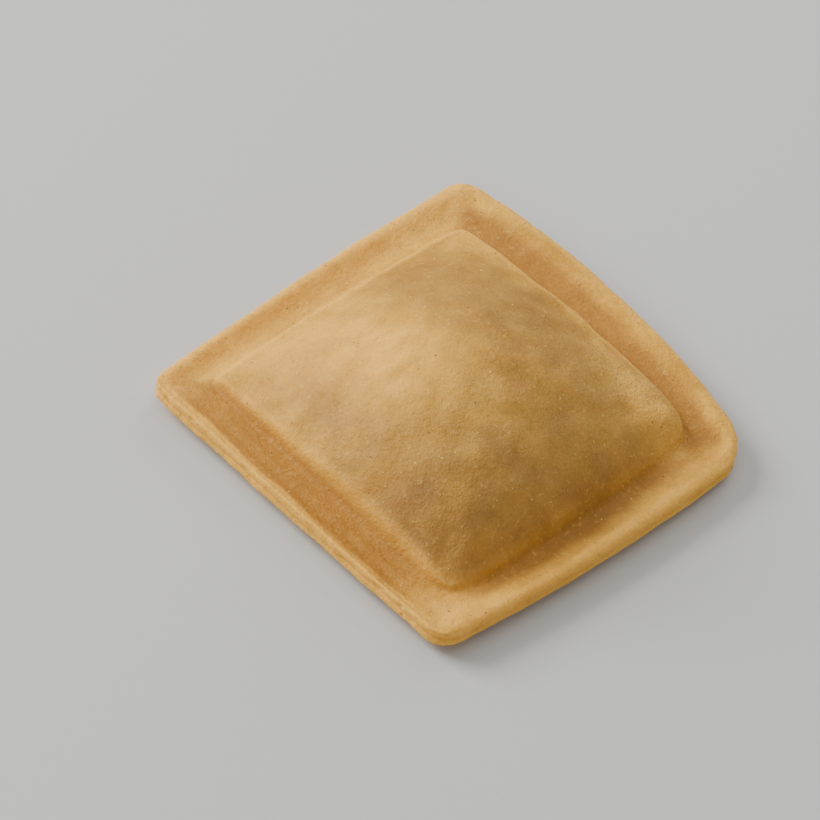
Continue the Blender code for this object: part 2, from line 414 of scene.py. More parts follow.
class DoughPoint:
    """Where one point lies on the dough, and from 0 to 1 how far it belongs to each part of it."""

    def __init__(self, place, normal, plan, share):
        self.place = place
        self.normal = normal
        self.s, self.t = plan
        self.share = share
        self.border = border_share(self.s, self.t)
        self.p = self.s / FOOT_SHARE
        self.q = self.t / FOOT_SHARE
        self.inset = (1.0 - max(abs(self.p), abs(self.q))) * FOOT_HALF
        self.top = fade_in(share, *TOP_BY_SHARE) * smooth_step(normal.z / TOP_TILT + TOP_TILT_MARGIN)
        self.side = 1.0 - fade_in(abs(normal.z), *CUT_SIDE_BY_TILT)
        self.side *= fade_in(self.border, *CUT_SIDE_BY_BORDER)
        self.pillow = smooth_step(self.inset / PILLOW_EDGE) * self.top
        self.sides = side_shares(self.s, self.t)


def uneven(point, kind):
    """A value that swings softly about its middle from place to place."""
    size, seed, middle, swing = NOISES[kind]
    apart = Vector((seed, 2.0 * seed, 3.0 * seed))
    return middle + swing * noise.noise(point.place / size + apart)


def patch(point, *names):
    """The strongest of the named patches at a point."""
    found = 0.0
    for name in names:
        (middle_x, middle_y), (reach_x, reach_y), strength = PATCHES[name]
        away_x = (point.place.x - middle_x) / reach_x
        away_y = (point.place.y - middle_y) / reach_y
        found = max(found, strength * hump(math.hypot(away_x, away_y)))
    return found


def over_sides(point, weights):
    """The sum of a weight for each side, by how far the point belongs to it."""
    return sum(weight * point.sides[name] for name, weight in weights.items())


# The fine ridge that the mould leaves on top of the pillow's wall and the crease under it, each at
# an inset from the pillow's foot, and how strong both are along each side
MOULD_RIDGE = {"inset": 0.75 * MM, "width": 0.38 * MM, "height": 0.34 * MM}
MOULD_CREASE = {"inset": -0.25 * MM, "width": 0.35 * MM, "height": -0.30 * MM}
MOULD_LINES_BY_SIDE = {"-x": 0.65, "+y": 1.15, "-y": 1.1, "+x": 0.35}


def mould_lines(point):
    """The mould's ridge and crease, which wander a little and fade here and there."""
    wander = uneven(point, "mould line's wander")
    height = sum(
        line["height"] * hump((point.inset - line["inset"] + wander) / line["width"])
        for line in (MOULD_RIDGE, MOULD_CREASE)
    )
    strength = uneven(point, "mould line's strength") * over_sides(point, MOULD_LINES_BY_SIDE)
    return strength * height * point.top


# Each wrinkle is a part of a ring, from one angle to another in degrees. It fades over some degrees
# at its ends, and isn't worked out past this many radii from the ring's middle.
WRINKLES = (
    {"middle": (-4.6 * MM, -7.2 * MM), "radius": 2.6 * MM, "arc": (-60.0, 110.0), "height": 0.34 * MM},
    {"middle": (-2.9 * MM, -5.6 * MM), "radius": 1.5 * MM, "arc": (60.0, 240.0), "height": 0.28 * MM},
    {"middle": (-6.6 * MM, -4.0 * MM), "radius": 2.2 * MM, "arc": (-120.0, 10.0), "height": 0.22 * MM},
    {"middle": (0.4 * MM, -11.0 * MM), "radius": 3.4 * MM, "arc": (20.0, 130.0), "height": 0.16 * MM},
)
WRINKLE_WIDTH = 0.42 * MM
WRINKLE_FADE = 25.0
WRINKLE_RADII = 2.0


def wrinkles(point):
    """Short curved wrinkles by the top of the dome."""
    height = 0.0
    for wrinkle in WRINKLES:
        away_x = point.place.x - wrinkle["middle"][0]
        away_y = point.place.y - wrinkle["middle"][1]
        distance = math.hypot(away_x, away_y)
        if distance > WRINKLE_RADII * wrinkle["radius"]:
            continue
        start, end = wrinkle["arc"]
        angle = (math.degrees(math.atan2(away_y, away_x)) - start) % 360.0
        ends = smooth_step(angle / WRINKLE_FADE) * smooth_step((end - start - angle) / WRINKLE_FADE)
        off_ring = distance - wrinkle["radius"] + uneven(point, "wrinkle's wobble")
        height += wrinkle["height"] * ends * hump(off_ring / WRINKLE_WIDTH)
    return height


# The seam's width is a share of the height. Where it is closed, it keeps a share of its depth.
SEAM_WIDTH = 0.10
SEAM_DEPTH = 0.30 * MM
SEAM_CLOSED = 0.25
PIT_DEPTH = 0.35 * MM


def seam(point):
    """The torn line where the two sheets meet on the cut side: a groove with pits and rags."""
    opened = smooth_step(uneven(point, "seam's opening"))
    groove = hump((point.share - uneven(point, "seam's middle")) / SEAM_WIDTH)
    groove *= SEAM_DEPTH * (SEAM_CLOSED + (1.0 - SEAM_CLOSED) * opened)
    pits = PIT_DEPTH * max(0.0, uneven(point, "seam's pits"))
    return point.side * (uneven(point, "seam's rags") - groove - pits)


def moist_zone(point):
    """Rough, moist skin, most along the far crest and by one corner of the border."""
    return patch(point, "moist crest", "moist corner") * point.top


# Heights of the soft lumps on the pillow and all over the dough, the depth of the dimples, and how
# much more grain moist skin has
BROAD_LUMPS = (0.22 * MM, 0.09 * MM)
SMALL_LUMPS = (0.24 * MM, 0.06 * MM)
DIMPLE_DEPTH = 0.10 * MM
MOIST_GRAIN = 1.6

# The near side's lip is pressed flatter, from one share of the border to another.
PRESSED_DEPTH = 0.32 * MM
PRESSED_START = (0.35, 0.25)
PRESSED_END = (0.98, 0.10)


def soft_lumps(point, kind, heights):
    """Soft lumps, higher on the pillow than on the border."""
    on_pillow, all_over = heights
    return (on_pillow * point.pillow + all_over) * uneven(point, kind)


def relief(point, soft, fine):
    """Height of all the fine forms at a point, out along the dough's normal."""
    broad = soft * soft_lumps(point, "broad lumps", BROAD_LUMPS)
    small = soft * soft_lumps(point, "small lumps", SMALL_LUMPS)
    rough = fine * (1.0 + MOIST_GRAIN * moist_zone(point))
    grain = rough * (uneven(point, "grain") + uneven(point, "fine grain"))
    dimple = fine * DIMPLE_DEPTH * max(0.0, uneven(point, "dimples")) * point.top
    pressed = fade_in(point.border, *PRESSED_START) * fade_out(point.border, *PRESSED_END)
    pressed *= PRESSED_DEPTH * point.sides["-y"] * point.top
    lip = uneven(point, "lip") * point.border - pressed
    lines = mould_lines(point) + seam(point) + wrinkles(point) * point.pillow
    return broad + small + grain - dimple + lip + lines


# Zones of colour, most of them painted light or painted shade. Each is 0 to 1 over the dough and is
# read by the dough's material.

# The pale lip begins later, and comes in more sharply, where it is narrow. Lip and rim are partly drier
# dough and partly painted light through the thin edge; the left border that faces the lamp gets painted
# light, and the mould's ridge a painted highlight.
PALE_LIP_FROM = 0.62
PALE_LIP_FADE = 0.22
NARROW_LIP_LATER = 0.26
NARROW_LIP_SHARPER = 0.12
NARROW_FROM = (-0.95, 0.2)
NARROW_FAR_SIDE = 0.6
PAINTED_LIGHT_LEFT_SIDE = 0.75
PAINTED_LIGHT_LEFT_FADE = 0.12
PAINTED_RIDGE_HIGHLIGHT_WIDTH = 0.45 * MM
PAINTED_RIDGE_HIGHLIGHT_BY_SIDE = {"-x": 0.75, "+y": 0.75, "-y": 0.525}
PALE_RIM = 1.2
PALE_RIM_FROM = (0.93, 0.05)
PALE_CUT_SIDE = 0.9
PAINTED_LIGHT_PATCHES = ("painted highlight crest", "painted light slope", "painted light shoulder", "painted light near corner", "painted light left corner")


def pale_and_painted_light_zone(point):
    """Pale dough and painted light: the lips and rim (drier dough with painted light at the thin edge),
    the cut side, painted light on the near-left border that faces the lamp, a painted highlight on the
    ridge, and painted light and highlight patches.
    """
    narrow = point.sides["-y"] * fade_in(point.s, *NARROW_FROM)
    narrow = max(narrow, NARROW_FAR_SIDE * point.sides["+y"])
    start = PALE_LIP_FROM + NARROW_LIP_LATER * narrow
    width = PALE_LIP_FADE - NARROW_LIP_SHARPER * narrow
    lip = fade_in(point.border + uneven(point, "pale edge"), start, width)
    left = PAINTED_LIGHT_LEFT_SIDE * point.sides["-x"] * smooth_step(point.border / PAINTED_LIGHT_LEFT_FADE)
    ridge = hump((point.inset - MOULD_RIDGE["inset"]) / PAINTED_RIDGE_HIGHLIGHT_WIDTH)
    ridge *= max(weight * point.sides[name] for name, weight in PAINTED_RIDGE_HIGHLIGHT_BY_SIDE.items())
    rim = PALE_RIM * fade_in(point.border, *PALE_RIM_FROM) * point.top
    most = max(lip, left, ridge, rim, patch(point, *PAINTED_LIGHT_PATCHES), PALE_CUT_SIDE * point.side)
    return min(1.0, most * uneven(point, "pale mottle"))


# The painted shade in the groove reaches further out, and ends more sharply, on some sides.
PAINTED_GROOVE_SHADE_UP_TO = 0.58
PAINTED_GROOVE_SHADE_FURTHER = {"-y": 0.30, "+y": 0.16}
PAINTED_GROOVE_SHADE_FADE = 0.34
PAINTED_GROOVE_SHADE_SHARPER = 0.22
PAINTED_GROOVE_SHADE_INSET = 0.9 * MM
PAINTED_GROOVE_SHADE_BY_SIDE = {"+x": 1.0, "-y": 0.95, "+y": 0.95, "-x": 0.10}
PAINTED_GROOVE_SHADE_FOOT = 0.5
PAINTED_GROOVE_SHADE_FOOT_WIDTH = 1.6 * MM
PAINTED_GROOVE_SHADE_SEAM = 0.6
PAINTED_GROOVE_SHADE_SEAM_WIDTH = 0.14


def painted_groove_shade_zone(point):
    """Painted shade, orange like light bounced in the groove between the pillow and the lip, most of
    all along +X where the dome shades it; a painted shadow along the +X foot, and painted shade in the
    seam.
    """
    outer = PAINTED_GROOVE_SHADE_UP_TO + over_sides(point, PAINTED_GROOVE_SHADE_FURTHER)
    fade = PAINTED_GROOVE_SHADE_FADE - PAINTED_GROOVE_SHADE_SHARPER * point.sides["-y"]
    groove = fade_out(point.border - uneven(point, "painted_groove_shade edge"), outer, fade)
    groove *= 1.0 - smooth_step(point.inset / PAINTED_GROOVE_SHADE_INSET)
    foot = PAINTED_GROOVE_SHADE_FOOT * hump(point.inset / PAINTED_GROOVE_SHADE_FOOT_WIDTH) * point.sides["+x"]
    weight = over_sides(point, PAINTED_GROOVE_SHADE_BY_SIDE) * (1.0 - patch(point, "unshaded near corner"))
    seam_shade = PAINTED_GROOVE_SHADE_SEAM * point.side * hump((point.share - SEAM_MIDDLE) / PAINTED_GROOVE_SHADE_SEAM_WIDTH)
    return min(1.0, max(max(groove, foot) * weight * point.top, seam_shade))


# The painted shade on the slope comes in along a direction in plan, and the crease is a painted shadow,
# a dark line by the foot.
PAINTED_SHADE_WAY = (0.75, -0.25)
PAINTED_SHADE_FROM = (-0.25, 0.9)
PAINTED_SHADE_SLOPE = 0.8
PAINTED_CREASE_SHADOW = 0.95
PAINTED_CREASE_SHADOW_INSET = -0.15 * MM
PAINTED_CREASE_SHADOW_WIDTH = 0.5 * MM
PAINTED_CREASE_SHADOW_FROM = (-0.05, 0.3)


def painted_shade_zone(point):
    """Painted shade on the side of the dome that faces +X and -Y, away from the lamp, and a painted
    shadow in the crease by the far foot.
    """
    slope = PAINTED_SHADE_SLOPE * fade_in(PAINTED_SHADE_WAY[0] * point.p + PAINTED_SHADE_WAY[1] * point.q, *PAINTED_SHADE_FROM)
    most = max(slope, patch(point, "painted_shade slope", "painted_shade corner", "painted_shade near side"))
    crease = PAINTED_CREASE_SHADOW * hump((point.inset - PAINTED_CREASE_SHADOW_INSET) / PAINTED_CREASE_SHADOW_WIDTH)
    crease *= point.top * point.sides["+y"] * fade_in(point.s, *PAINTED_CREASE_SHADOW_FROM)
    return min(1.0, max(most * point.pillow * uneven(point, "painted_shade mottle"), crease))


def painted_dark_shade_zone(point):
    """Painted shade, dark yellow-brown: over the top and far slope, by one corner and in the +X groove,
    where less light falls.
    """
    on_pillow = patch(point, "painted_dark_shade top", "painted_dark_shade corner") * point.pillow
    in_groove = patch(point, "painted_dark_shade groove") * point.top
    return min(1.0, max(on_pillow, in_groove) * uneven(point, "painted_dark_shade mottle"))


# Pale dough with painted light, and three zones of painted shade; moist sets only roughness and bump.
ZONES = {
    "pale": pale_and_painted_light_zone,
    "amber": painted_dark_shade_zone,
    "deep": painted_groove_shade_zone,
    "dusky": painted_shade_zone,
    "moist": moist_zone,
}


def fit_inside(places):
    """Draws the points in evenly where they pass the solid's box, less the room for the flecks."""
    low, high = (np.array(corner) for corner in CAD_BOX)
    room = np.array((FLECK_ROOM, FLECK_ROOM, 0.0))
    low, high = low + room, high - room - np.array((0.0, 0.0, FLECK_ROOM))
    found_low, found_high = places.min(0), places.max(0)
    share = np.minimum(1.0, (high - low) / (found_high - found_low))
    middle = 0.5 * (found_low + found_high)
    places = middle + (places - middle) * share
    return places + np.maximum(0.0, low - places.min(0)) - np.maximum(0.0, places.max(0) - high)


# The foot's faces look down at least this straight, and lie no more than this over the floor.
FOOT_TILT = -0.98
FOOT_GAP = 0.02 * MM


def make_dough(sizes):
    """The dough as a fine mesh with its relief, its zones as attributes, and a flat foot."""
    cage = make_cage()
    mesh = bpy.data.meshes.new("dough_cage")
    cage.to_mesh(mesh)
    cage.free()
    source = bpy.data.objects.new("dough_cage", mesh)
    bpy.context.scene.collection.objects.link(source)
    rounding = source.modifiers.new("rounding", "SUBSURF")
    rounding.levels = DOUGH_LEVELS
    rounding.render_levels = DOUGH_LEVELS
    dough = plain_mesh(source, "dough")
    mesh = dough.data
    plan = corner_values(mesh, "plan")
    shares = corner_values(mesh, "height")[:, 0]
    points = [
        DoughPoint(vertex.co.copy(), vertex.normal.copy(), place, share)
        for vertex, place, share in zip(mesh.vertices, plan.tolist(), shares.tolist())
    ]
    for name, zone in ZONES.items():
        layer = mesh.attributes.new(name, "FLOAT", "POINT")
        layer.data.foreach_set("value", [zone(point) for point in points])
    places = np.array([
        point.place + point.normal * relief(point, sizes.lumps, sizes.grain) for point in points
    ])
    places = fit_inside(places)
    floor = CAD_BOX[0][2]
    places[:, 2] = np.maximum(places[:, 2], floor)
    foot = np.array([point.normal.z < FOOT_TILT and point.place.z < FOOT_GAP for point in points])
    places[foot, 2] = floor
    mesh.vertices.foreach_set("co", places.astype(np.float32).ravel())
    mesh.update()
    mesh.shade_smooth()
    return dough


class Signal:
    """A node's output that plain maths works on. Each step adds its own Math node."""

    def __init__(self, tree, socket):
        self.tree = tree
        self.socket = socket

    def maths(self, operation, first, second):
        return self.tree.add("ShaderNodeMath", {"operation": operation}, {0: first, 1: second})

    def __add__(self, other):
        return self.maths("ADD", self, other)

    def __radd__(self, other):
        return self.maths("ADD", other, self)

    def __sub__(self, other):
        return self.maths("SUBTRACT", self, other)

    def __rsub__(self, other):
        return self.maths("SUBTRACT", other, self)

    def __mul__(self, other):
        return self.maths("MULTIPLY", self, other)

    def __rmul__(self, other):
        return self.maths("MULTIPLY", other, self)


class Tree:
    """A node tree with one way to add a node: its type, its settings, then its sockets' values."""

    def __init__(self, group):
        self.group = group

    def find(self, sockets, key):
        """The socket in use with this name or identifier, or at this place in their row."""
        in_use = [socket for socket in sockets if socket.enabled]
        if isinstance(key, int):
            return in_use[key]
        for socket in in_use:
            if key in (socket.identifier, socket.name):
                return socket
        raise KeyError(f"no socket {key!r} in {[socket.identifier for socket in sockets]}")

    def add(self, kind, settings=None, values=None, output=0):
        """Adds a node and returns one of its outputs."""
        node = self.group.nodes.new(kind)
        for name, value in (settings or {}).items():
            setattr(node, name, value)
        for key, value in (values or {}).items():
            self.fill(self.find(node.inputs, key), value)
        return Signal(self, self.find(node.outputs, output))

    def fill(self, socket, value):
        """Links a signal to a socket, or sets the socket's own value."""
        if isinstance(value, Signal):
            self.group.links.new(value.socket, socket)
        else:
            socket.default_value = value

    def ramp(self, value, low, high):
        """0 below low, 1 above high, and an even S between them."""
        kind = "ShaderNodeMapRange"
        settings = {"interpolation_type": "SMOOTHSTEP", "clamp": True}
        return self.add(kind, settings, {"Value": value, "From Min": low, "From Max": high})

    def paint(self, share, under, over, blend="MIX"):
        """One colour laid over another by a share of 0 to 1."""
        settings = {"data_type": "RGBA", "blend_type": blend, "clamp_factor": True}
        values = {"Factor_Float": share, "A_Color": under, "B_Color": over}
        return self.add("ShaderNodeMix", settings, values, "Result_Color")

    def grain(self, place, size, detail=2.0, rough=0.5, distortion=0.0):
        """Noise of 0 to 1 whose lumps are about one size across."""
        values = {
            "Vector": place,
            "Scale": 1.0 / size,
            "Detail": detail,
            "Roughness": rough,
            "Distortion": distortion,
        }
        return self.add("ShaderNodeTexNoise", {"noise_dimensions": "3D"}, values)


def new_material(name):
    material = bpy.data.materials.new(name)
    material.use_nodes = True
    nodes = material.node_tree.nodes
    shader = nodes["Principled BSDF"]
    return material, Tree(material.node_tree), shader


def opaque(color):
    """A colour of three values, with full cover as its fourth."""
    return (color[0], color[1], color[2], 1.0)


# Noise in the dough's material: the size of its lumps, its detail, its roughness, its distortion
DOUGH_NOISES = {
    "clouds": (9.0 * MM, 3.0, 0.55, 0.0),
    "mottle": (2.4 * MM, 4.0, 0.60, 0.4),
    "coarse": (1.5 * MM, 3.0, 0.60, 0.5),
    "stains": (0.8 * MM, 3.0, 0.70, 0.6),
    "shine": (0.7 * MM, 2.0, 0.60, 0.0),
    "speckle": (0.55 * MM, 3.0, 0.65, 0.0),
    "rust": (0.42 * MM, 1.0, 0.50, 0.0),
    "fine": (0.34 * MM, 3.0, 0.70, 0.0),
    "dust": (0.22 * MM, 2.0, 0.60, 0.0),
}

# Ochre patches: how far the mottling breaks up the clouds, and the values they come in between
OCHRE_BREAKS = 0.35
OCHRE_BETWEEN = (0.48, 0.86)

# Each zone, the colour that is laid over it, and how strongly. These coats lay painted shade and
# painted light, with the paler dough of the lips, into the colour.
ZONE_COATS = (
    ("dusky", "dusky", 0.85),
    ("deep", "deep", 0.9),
    ("amber", "amber", 0.8),
    ("pale", "lip", 0.9),
)

# Each kind of spot: its noise, the values it comes in between, its colour, and how strong it is
SPOT_COATS = (
    ("speckle", (0.56, 0.72), "semolina", 0.28),
    ("stains", (0.60, 0.74), "bran_stain", 0.42),
)
RUST_COAT = ("rust", (0.70, 0.80), "rust", 0.50)

# The colour is multiplied by this base and a share of two noises, which come to about 1 together.
SHADE_BASE = 0.60
SHADE_FINE = 0.45
SHADE_COARSE = 0.36

# Roughness of dry dough, how much smoother moist spots are, and how much rougher dusty ones
SHINE_BETWEEN = (0.45, 0.70)
DRY_ROUGHNESS = 0.60
SHINE_SMOOTHER = 0.42
DUST_ROUGHER = 0.08

# Shares of the noises in the fine bump, its depth, and how much deeper it is on moist skin
BUMP_MOTTLE = 0.35
BUMP_SPECKLE = 0.45
BUMP_DUST = 0.22
MOIST_BUMP = 1.5
BUMP_DEPTH = 0.30 * MM


def dough_material(colors):
    """Rolled dough: cream and ochre under the zones' colours of painted shade and painted light,
    speckled, and moist in places.
    """
    material, tree, shader = new_material("dough")
    place = tree.add("ShaderNodeTexCoord", output="Object")
    zone = {
        name: tree.add("ShaderNodeAttribute", {"attribute_name": name}, output="Fac")
        for name in ZONES
    }
    grain = {name: tree.grain(place, *values) for name, values in DOUGH_NOISES.items()}

    def spots(under, noise_name, between, finish, strength):
        share = tree.ramp(grain[noise_name], *between) * strength
        return tree.paint(share, under, opaque(getattr(colors, finish)))

    patches = tree.ramp(grain["clouds"] + OCHRE_BREAKS * grain["mottle"], *OCHRE_BETWEEN)
    color = tree.paint(patches, opaque(colors.cream), opaque(colors.ochre))
    for name, finish, strength in ZONE_COATS:
        color = tree.paint(zone[name] * strength, color, opaque(getattr(colors, finish)))
    for coat in SPOT_COATS:
        color = spots(color, *coat)
    value = SHADE_BASE + SHADE_FINE * grain["fine"] + SHADE_COARSE * grain["coarse"]
    shade = tree.add("ShaderNodeCombineColor", None, {"Red": value, "Green": value, "Blue": value})
    color = tree.paint(1.0, color, shade, "MULTIPLY")
    tree.fill(shader.inputs["Base Color"], spots(color, *RUST_COAT))

    shine = zone["moist"] * tree.ramp(grain["shine"], *SHINE_BETWEEN)
    roughness = DRY_ROUGHNESS - SHINE_SMOOTHER * shine + DUST_ROUGHER * grain["dust"]
    tree.fill(shader.inputs["Roughness"], roughness)

    height = BUMP_MOTTLE * grain["mottle"] + BUMP_SPECKLE * grain["speckle"] + BUMP_DUST * grain["dust"]
    height = height * (1.0 + MOIST_BUMP * zone["moist"])
    bump = tree.add(
        "ShaderNodeBump", None, {"Strength": 1.0, "Distance": BUMP_DEPTH, "Height": height}
    )
    tree.fill(shader.inputs["Normal"], bump)
    shader.inputs["Subsurface Weight"].default_value = 0.22
    shader.inputs["Subsurface Radius"].default_value = (1.0, 0.45, 0.16)
    shader.inputs["Subsurface Scale"].default_value = 1.6 * MM
    shader.inputs["Specular IOR Level"].default_value = 0.25
    return material


# A fleck's colour varies between two shares of its own colour.
FLECK_DARKEST = 0.62
FLECK_LIGHTEST = 1.35
FLECK_TONE_SIZE = 0.9 * MM
FLECK_TONE_BETWEEN = (0.35, 0.65)
FLECK_ROUGHER = 0.1


def fleck_material(name, color, roughness):
    """A fleck's own colour, uneven from one fleck to the next and along each of them."""
    material, tree, shader = new_material(name)
    place = tree.add("ShaderNodeTexCoord", output="Object")
    tone = tree.grain(place, FLECK_TONE_SIZE)
    lighter = tuple(min(1.0, FLECK_LIGHTEST * value) for value in color)
    darker = tuple(FLECK_DARKEST * value for value in color)
    shade = tree.paint(tree.ramp(tone, *FLECK_TONE_BETWEEN), opaque(darker), opaque(lighter))
    tree.fill(shader.inputs["Base Color"], shade)
    tree.fill(shader.inputs["Roughness"], roughness + FLECK_ROUGHER * tone)
    return material


FLECK_INPUTS = (
    ("Dough", "NodeSocketGeometry"),
    ("Count per square centimetre", "NodeSocketFloat"),
    ("Length", "NodeSocketFloat"),
    ("Width", "NodeSocketFloat"),
    ("Thickness", "NodeSocketFloat"),
    ("Unevenness", "NodeSocketFloat"),
    ("Seed", "NodeSocketInt"),
    ("Finish", "NodeSocketMaterial"),
)
PER_SQUARE_CENTIMETRE = 10000.0

# Each kind of fleck: its width as a share of its length, its thickness, how unlike in size the
# flecks are, the roughness of its finish, and what it adds to the seed
BRAN = {"width": 0.45, "thickness": 0.05 * MM, "unevenness": 0.55, "roughness": 0.6, "seed": 0}
GRAIN = {"width": 0.7, "thickness": 0.07 * MM, "unevenness": 0.5, "roughness": 0.45, "seed": 10}


def fleck_tree(name):
    """Small flat flecks, scattered over a surface and turned every way on it."""
    group = bpy.data.node_groups.new(name, "GeometryNodeTree")
    for label, kind in FLECK_INPUTS:
        group.interface.new_socket(name=label, in_out="INPUT", socket_type=kind)
    group.interface.new_socket(name="Flecks", in_out="OUTPUT", socket_type="NodeSocketGeometry")
    tree = Tree(group)
    start = group.nodes.new("NodeGroupInput")
    given = {label: Signal(tree, start.outputs[label]) for label, _ in FLECK_INPUTS}
    scatter = group.nodes.new("GeometryNodeDistributePointsOnFaces")
    scatter.distribute_method = "RANDOM"
    tree.fill(scatter.inputs["Mesh"], given["Dough"])
    density = given["Count per square centimetre"] * PER_SQUARE_CENTIMETRE
    tree.fill(tree.find(scatter.inputs, "Density"), density)
    tree.fill(scatter.inputs["Seed"], given["Seed"])
    spin = tree.add(
        "FunctionNodeRandomValue",
        {"data_type": "FLOAT"},
        {"Min": 0.0, "Max": 2.0 * math.pi, "Seed": given["Seed"] + 1.0},
    )
    turn = tree.add("ShaderNodeCombineXYZ", None, {"Z": spin})
    turned = tree.add(
        "FunctionNodeRotateRotation",
        {"rotation_space": "LOCAL"},
        {"Rotation": Signal(tree, scatter.outputs["Rotation"]), "Rotate By": turn},
    )
    growth = tree.add(
        "FunctionNodeRandomValue",
        {"data_type": "FLOAT"},
        {
            "Min": 1.0 - given["Unevenness"],
            "Max": 1.0 + given["Unevenness"],
            "Seed": given["Seed"] + 2.0,
        },
    )
    size = tree.add(
        "ShaderNodeCombineXYZ",
        None,
        {
            "X": given["Length"] * growth,
            "Y": given["Width"] * growth,
            "Z": given["Thickness"],
        },
    )
    ball = tree.add("GeometryNodeMeshIcoSphere", None, {"Radius": 0.5, "Subdivisions": 1})
    laid = tree.add(
        "GeometryNodeInstanceOnPoints",
        None,
        {
            "Points": Signal(tree, scatter.outputs["Points"]),
            "Instance": ball,
            "Rotation": turned,
            "Scale": size,
        },
    )
    real = tree.add("GeometryNodeRealizeInstances", None, {"Geometry": laid})
    smooth = tree.add("GeometryNodeSetShadeSmooth", None, {"Geometry": real})
    finished = tree.add(
        "GeometryNodeSetMaterial", None, {"Geometry": smooth, "Material": given["Finish"]}
    )
    end = group.nodes.new("NodeGroupOutput")
    tree.fill(end.inputs["Flecks"], finished)
    return group


def scatter_flecks(name, kind, count, length, seed, finish):
    """Flecks over a copy of the dough, made a plain mesh that holds the flecks alone."""
    host = bpy.data.objects.new(name + "_host", bpy.data.objects["dough"].data.copy())
    bpy.context.scene.collection.objects.link(host)
    modifier = host.modifiers.new("flecks", "NODES")
    group = fleck_tree(name)
    sockets = {item.name: item.identifier for item in group.interface.items_tree}
    modifier.node_group = group
    modifier[sockets["Count per square centimetre"]] = count
    modifier[sockets["Length"]] = length
    modifier[sockets["Width"]] = kind["width"] * length
    modifier[sockets["Thickness"]] = kind["thickness"]
    modifier[sockets["Unevenness"]] = kind["unevenness"]
    modifier[sockets["Seed"]] = seed + kind["seed"]
    modifier[sockets["Finish"]] = finish
    return plain_mesh(host, name)


def hand_over(piece):
    """The piece moves with the raviolo and stands for its solid, which is hidden."""
    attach(piece, BODY)
    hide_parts(NODE)


class PastaDough(bpy.types.PropertyGroup):
    """Relief and colours of the dough, with the colours of its painted shade and painted light."""

    lumps: FloatProperty(
        name="Lumps", description="Strength of the soft lumps over the filling", default=1.0, min=0.0
    )
    grain: FloatProperty(
        name="Grain", description="Strength of the fine grain of the skin", default=1.0, min=0.0
    )
    cream: FloatVectorProperty(
        name="Cream", description="Light dough on the dome", subtype="COLOR",
        default=(0.90, 0.470, 0.056),
    )
    ochre: FloatVectorProperty(
        name="Ochre", description="Deeper patches on the dome", subtype="COLOR",
        default=(0.64, 0.310, 0.030),
    )
    # Colour of the painted shade on the dome's side away from the lamp and of the painted shadow in the
    # far crease
    dusky: FloatVectorProperty(
        name="Painted slope shade", description="Painted shade on the dome's side away from the lamp", subtype="COLOR",
        default=(0.37, 0.190, 0.058),
    )
    # Colour of the painted shade over the top, the far slope, one corner and the +X groove
    amber: FloatVectorProperty(
        name="Painted dark shade", description="Painted shade, dark yellow-brown", subtype="COLOR",
        default=(0.345, 0.158, 0.024),
    )
    # Colour of the painted shade in the groove, orange like bounced light
    deep: FloatVectorProperty(
        name="Painted groove shade", description="Painted shade in the groove", subtype="COLOR",
        default=(0.43, 0.176, 0.024),
    )
    # Pale dry dough, also the colour of the painted light on the lit border and slopes and of the
    # painted highlights on the ridge and crest
    lip: FloatVectorProperty(
        name="Lip", description="Pale dough on the lips and cut side, and painted light", subtype="COLOR",
        default=(0.95, 0.485, 0.072),
    )
    semolina: FloatVectorProperty(
        name="Semolina", description="Pale spots", subtype="COLOR", default=(0.96, 0.58, 0.15)
    )
    bran_stain: FloatVectorProperty(
        name="Bran stain", description="Dark spots", subtype="COLOR", default=(0.38, 0.17, 0.04)
    )
    rust: FloatVectorProperty(
        name="Rust", description="Reddish spots", subtype="COLOR", default=(0.55, 0.19, 0.04)
    )


class PastaFlecks(bpy.types.PropertyGroup):
    """Bran flecks and semolina grains on the dough."""

    bran_count: FloatProperty(
        name="Bran", description="Bran flecks on a square centimetre", default=6.0, min=0.0
    )
    bran_length: FloatProperty(
        name="Bran length", description="Length of a bran fleck", default=0.24 * MM, unit="LENGTH"
    )
    bran_color: FloatVectorProperty(
        name="Bran colour", description="Colour of the bran", subtype="COLOR",
        default=(0.42, 0.16, 0.045),
    )
    grain_count: FloatProperty(
        name="Grains", description="Semolina grains on a square centimetre", default=8.0, min=0.0
    )
    grain_length: FloatProperty(
        name="Grain length", description="Length of a grain", default=0.20 * MM, unit="LENGTH"
    )
    grain_color: FloatVectorProperty(
        name="Grain colour", description="Colour of the grains", subtype="COLOR",
        default=(0.92, 0.52, 0.12),
    )
    seed: IntProperty(name="Seed", description="Where the flecks fall", default=7)


class PastaStage(bpy.types.PropertyGroup):
    """Floor, lights and camera."""

    floor_side: FloatProperty(
        name="Floor", description="Side of the square floor", default=3.0, unit="LENGTH"
    )
    floor_color: FloatVectorProperty(
        name="Floor colour", description="Colour of the floor", subtype="COLOR",
        default=(0.62, 0.62, 0.60),
    )
    sky: FloatProperty(
        name="Sky", description="Strength of the even light all round", default=0.30, min=0.0
    )
    azimuth: FloatProperty(
        name="Azimuth", description="Camera's direction, from -Y towards +X", subtype="ANGLE",
        default=math.radians(38.0),
    )
    elevation: FloatProperty(
        name="Elevation", description="Camera's height over the horizon", subtype="ANGLE",
        default=math.radians(47.0),
    )
    roll: FloatProperty(
        name="Roll", description="Turn of the camera about its own axis", subtype="ANGLE",
        default=math.radians(12.0),
    )
    lens: FloatProperty(name="Lens", description="Focal length in millimetres", default=200.0)
    scale: FloatProperty(
        name="Scale", description="Pixels to a millimetre at the raviolo", default=10.14
    )


